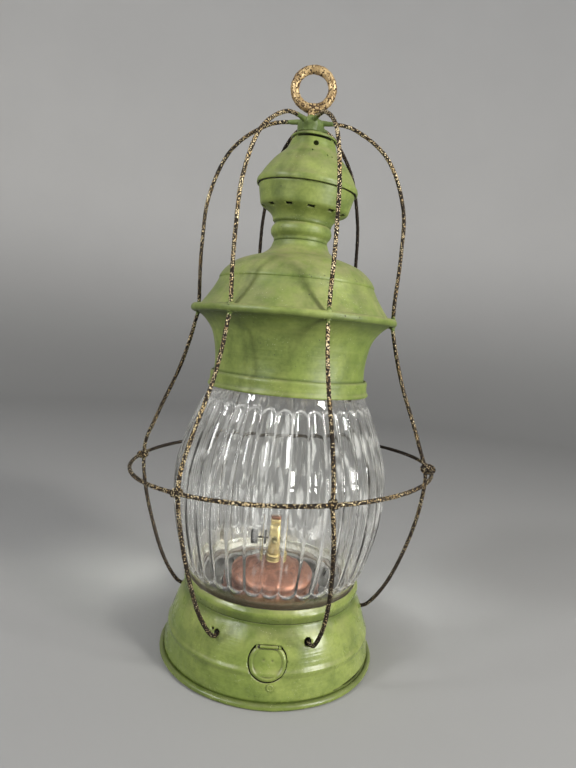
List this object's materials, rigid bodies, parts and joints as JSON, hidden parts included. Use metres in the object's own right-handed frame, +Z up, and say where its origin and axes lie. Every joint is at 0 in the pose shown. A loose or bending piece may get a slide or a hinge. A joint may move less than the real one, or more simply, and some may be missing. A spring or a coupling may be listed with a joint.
{
  "type": "caged globe oil lantern",
  "caption": "Oil lantern with a fluted barrel glass globe in a wire guard cage, green sheet-metal hood and base, ventilated cap and hanging eye.",
  "frame": {"origin": "centre of the rolled base rim, on the surface that the lantern stands on", "axes": "+Z up along the lantern's axis, -Y the front with the inspection flap, +X to the right seen from the front"},
  "size_m": [0.2587, 0.2592, 0.5015],
  "materials": {
    "green_paint": "hand-sprayed satin green paint over sheet metal, worn and dusty",
    "gilt_wire": "old gilt over flaking black paint",
    "dark_steel": "dull, tarnished",
    "brass": "aged brass",
    "copper": "aged copper, brown",
    "glass": "clear fluted pressed glass",
    "felt": "compressed packing cord",
    "wick_cotton": "woven cotton, charred at the top"
  },
  "bodies": {
    "lantern": {"base_hem": "green_paint", "base_skirt": "green_paint", "base_collar": "green_paint", "base_floor": "dark_steel", "globe_seat": "dark_steel", "skirt_rivet": "green_paint", "flap_bracket": "green_paint", "flap_pin": "dark_steel", "font_sleeve": "dark_steel", "font_springs": "dark_steel", "lower_gasket": "felt", "globe": "glass", "upper_gasket": "felt", "hood_collar": "green_paint", "hood_skirt": "green_paint", "brim": "green_paint", "shoulder_shell": "green_paint", "dome_shell": "green_paint", "smoke_cone": "dark_steel", "neck_tube": "green_paint", "vent_band": "green_paint", "vent_cap": "green_paint", "crown_legs": "green_paint", "crown_disc": "green_paint", "spider_hub": "green_paint", "cage_wire_1": "gilt_wire", "cage_wire_2": "gilt_wire", "cage_wire_3": "gilt_wire", "cage_wire_4": "gilt_wire", "cage_wire_5": "gilt_wire", "cage_wire_6": "gilt_wire", "guard_hoop": "gilt_wire", "hoop_ties": "gilt_wire", "brim_solder": "green_paint"},
    "eye": {"hanging_eye": "gilt_wire", "eye_nut": "gilt_wire"},
    "flap": {"inspection_flap": "green_paint"},
    "font": {"font_shell": "copper", "font_plate": "dark_steel", "font_knob": "brass", "burner_collar": "brass", "burner_body": "brass", "wick_tube": "brass", "gear_case": "brass", "burner_screw": "brass"},
    "spindle": {"wick_spindle": "dark_steel", "spur_wheels": "dark_steel", "thumb_wheel": "dark_steel"},
    "wick": {"wick": "wick_cotton"}
  },
  "joints": [
    {"name": "eye_swivel", "type": "hinge", "parent": "lantern", "child": "eye", "pos_m": [0, 0, 0.455], "axis": [0, 0, 1], "continuous": true},
    {"name": "flap_hinge", "type": "hinge", "parent": "lantern", "child": "flap", "pos_m": [0.00278, -0.07955, 0.04266], "axis": [-0.9994, -0.0349, 0], "range_deg": [0, 80]},
    {"name": "font_slide", "type": "slide", "parent": "lantern", "child": "font", "axis": [0, 0, 1], "range_m": [-0.125, 0]},
    {"name": "wick_spindle_turn", "type": "hinge", "parent": "font", "child": "spindle", "pos_m": [0, -0.0042, 0.0994], "axis": [1, 0, 0], "range_deg": [-56, 115]},
    {"name": "wick_lift", "type": "slide", "parent": "font", "child": "wick", "axis": [0, 0, 1], "range_m": [-0.003, 0.0062]}
  ],
  "couplings": [
    {"joint": "wick_spindle_turn", "follows": "wick_lift", "rad_per_m": 322.58}
  ]
}
